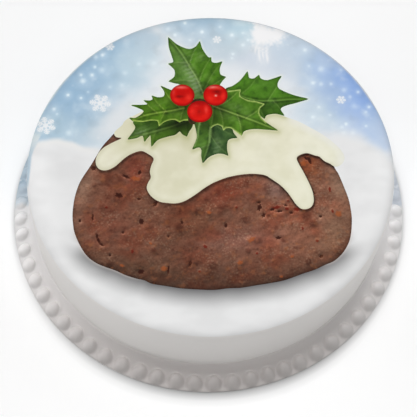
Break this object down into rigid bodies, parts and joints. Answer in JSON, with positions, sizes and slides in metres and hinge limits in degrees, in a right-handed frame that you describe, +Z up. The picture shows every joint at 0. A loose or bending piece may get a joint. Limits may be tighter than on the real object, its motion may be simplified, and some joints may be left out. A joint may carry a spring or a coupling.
{
  "type": "round iced christmas cake with a printed top",
  "caption": "Low round white iced cake with rounded top edge, piped pearl border round its foot, and a printed icing sheet showing a holly-topped pudding in snow.",
  "frame": {"origin": "centre of the cake's underside, on the surface it stands on", "axes": "+Z up along the cake's axis; the foot of the printed picture faces -Y"},
  "size_m": [0.2254, 0.2254, 0.055],
  "materials": {
    "white_icing": "smooth satin white icing, tinted pale sky blue on the back half of the wall",
    "piped_icing": "smooth satin white piped icing, tinted sky blue on the back half",
    "printed_icing": "matt edible print in full colour on white icing"
  },
  "bodies": {
    "root": {"cake_body": "white_icing", "piped_border": "piped_icing", "printed_sheet": "printed_icing"}
  },
  "joints": []
}
